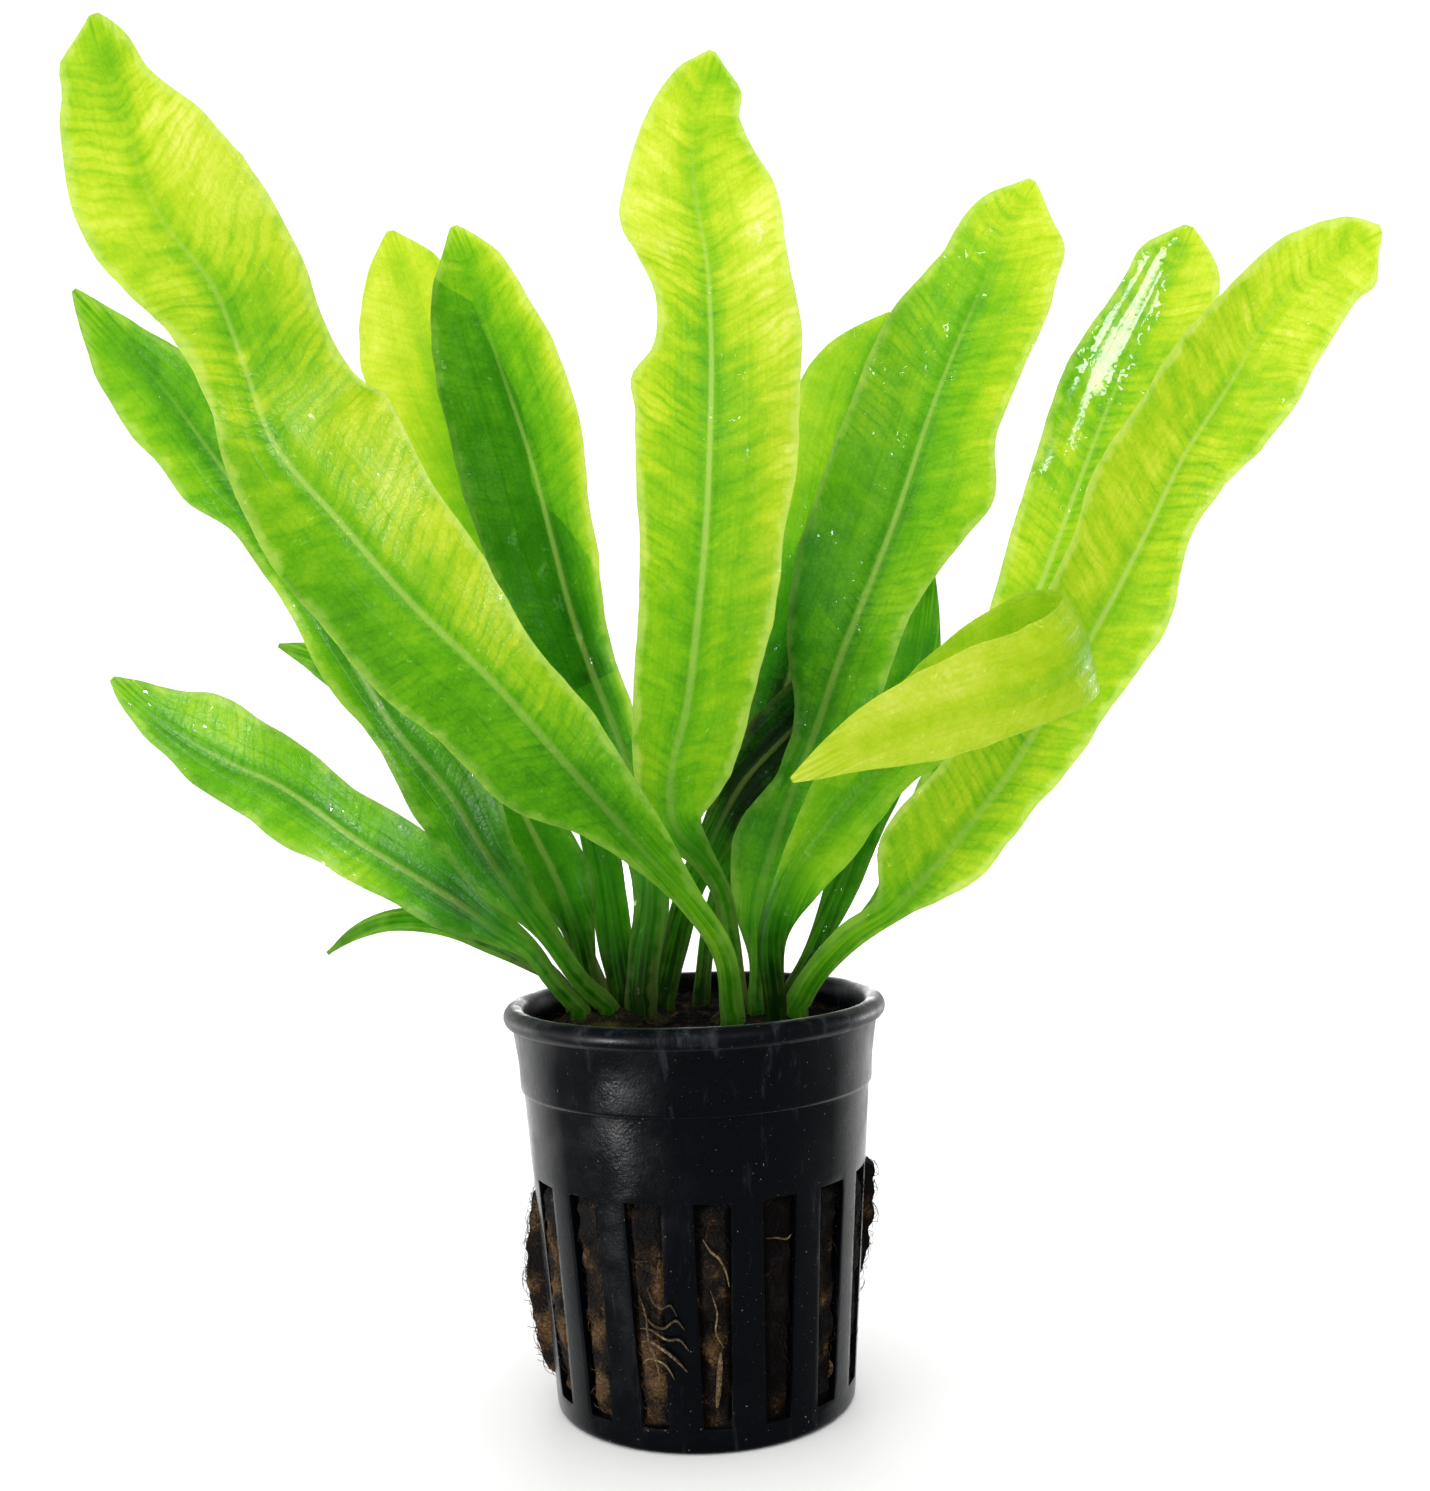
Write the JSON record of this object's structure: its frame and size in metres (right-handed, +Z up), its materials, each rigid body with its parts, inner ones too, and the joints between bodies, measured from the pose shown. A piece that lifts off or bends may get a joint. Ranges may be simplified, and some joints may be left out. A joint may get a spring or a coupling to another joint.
{
  "type": "potted ruffled echinodorus",
  "caption": "Rosette water plant with long, softly ruffled green leaves, growing from two rootstocks in a black slotted net pot filled with brown rock wool.",
  "frame": {"origin": "centre of the pot's flat underside, on the surface that the pot stands on", "axes": "+Z up, +X to the right and +Y away from the viewer, as the plant is seen from its front"},
  "size_m": [0.1677, 0.0769, 0.1772],
  "materials": {
    "pot_plastic": "satin",
    "rock_wool": "matte",
    "rootstock": "satin",
    "leaf": "satin"
  },
  "bodies": {
    "root": {"net_pot": "pot_plastic", "wool_plug": "rock_wool", "rootstock_left": "rootstock", "rootstock_right": "rootstock", "leaf_front_left": "leaf", "leaf_far_left": "leaf", "leaf_low_left": "leaf", "leaf_drooping": "leaf", "leaf_small_left": "leaf", "leaf_ruffled_inner": "leaf", "leaf_back_left": "leaf", "leaf_inner_left": "leaf", "leaf_tall_middle": "leaf", "leaf_tall_right": "leaf", "leaf_behind_right": "leaf", "leaf_dark_middle": "leaf", "leaf_folded": "leaf", "leaf_big_right": "leaf", "leaf_wet_right": "leaf", "leaf_right_back": "leaf"}
  },
  "joints": []
}
